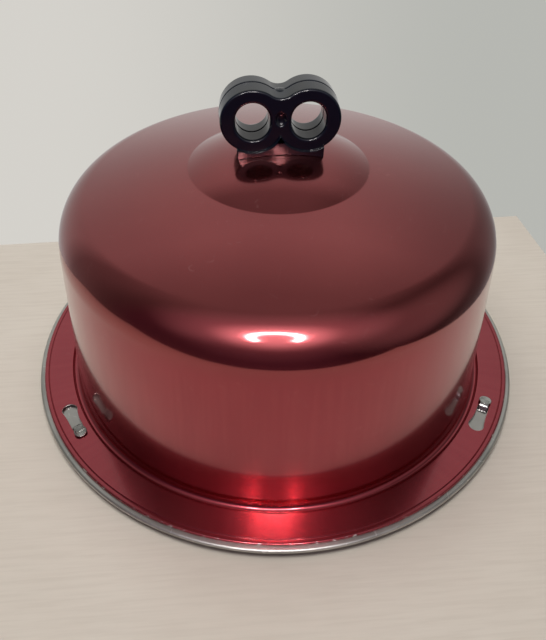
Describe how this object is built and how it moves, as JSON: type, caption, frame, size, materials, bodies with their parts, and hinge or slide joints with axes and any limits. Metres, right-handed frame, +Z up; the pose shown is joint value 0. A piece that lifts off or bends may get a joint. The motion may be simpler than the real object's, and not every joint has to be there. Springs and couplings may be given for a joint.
{
  "type": "cake carrier",
  "caption": "Round cake carrier: a domed red metal cover with a brim that twist-locks on a flat metal tray, lifted by a black two-finger handle.",
  "frame": {"origin": "centre of the tray's flat underside, on the table", "axes": "+Z up along the axis the cover turns about; the handle's broad face and the front look along -Y"},
  "size_m": [0.33, 0.33, 0.1938],
  "materials": {
    "red_anodised": "bright red anodised, fine turning marks",
    "bare_aluminium": "satin, spun, lightly worn",
    "black_moulding": "polished black thermoset moulding",
    "blackened_steel": "blackened",
    "nut_brass": "plain",
    "plated_steel": "zinc plated"
  },
  "bodies": {
    "tray": {"tray": "bare_aluminium"},
    "screw": {"handle_screw": "plated_steel", "screw_washer": "plated_steel"},
    "cover": {"cover": "red_anodised", "handle_front_half": "black_moulding", "handle_rear_half": "black_moulding", "handle_rivet": "blackened_steel", "handle_nut": "nut_brass"}
  },
  "joints": [
    {"name": "cover_lift", "type": "slide", "parent": "tray", "child": "screw", "axis": [0, 0, 1], "range_m": [0, 0.2]},
    {"name": "cover_twist", "type": "hinge", "parent": "screw", "child": "cover", "pos_m": [0, 0, 0.15], "axis": [0, 0, 1], "range_deg": [0, 7]}
  ]
}
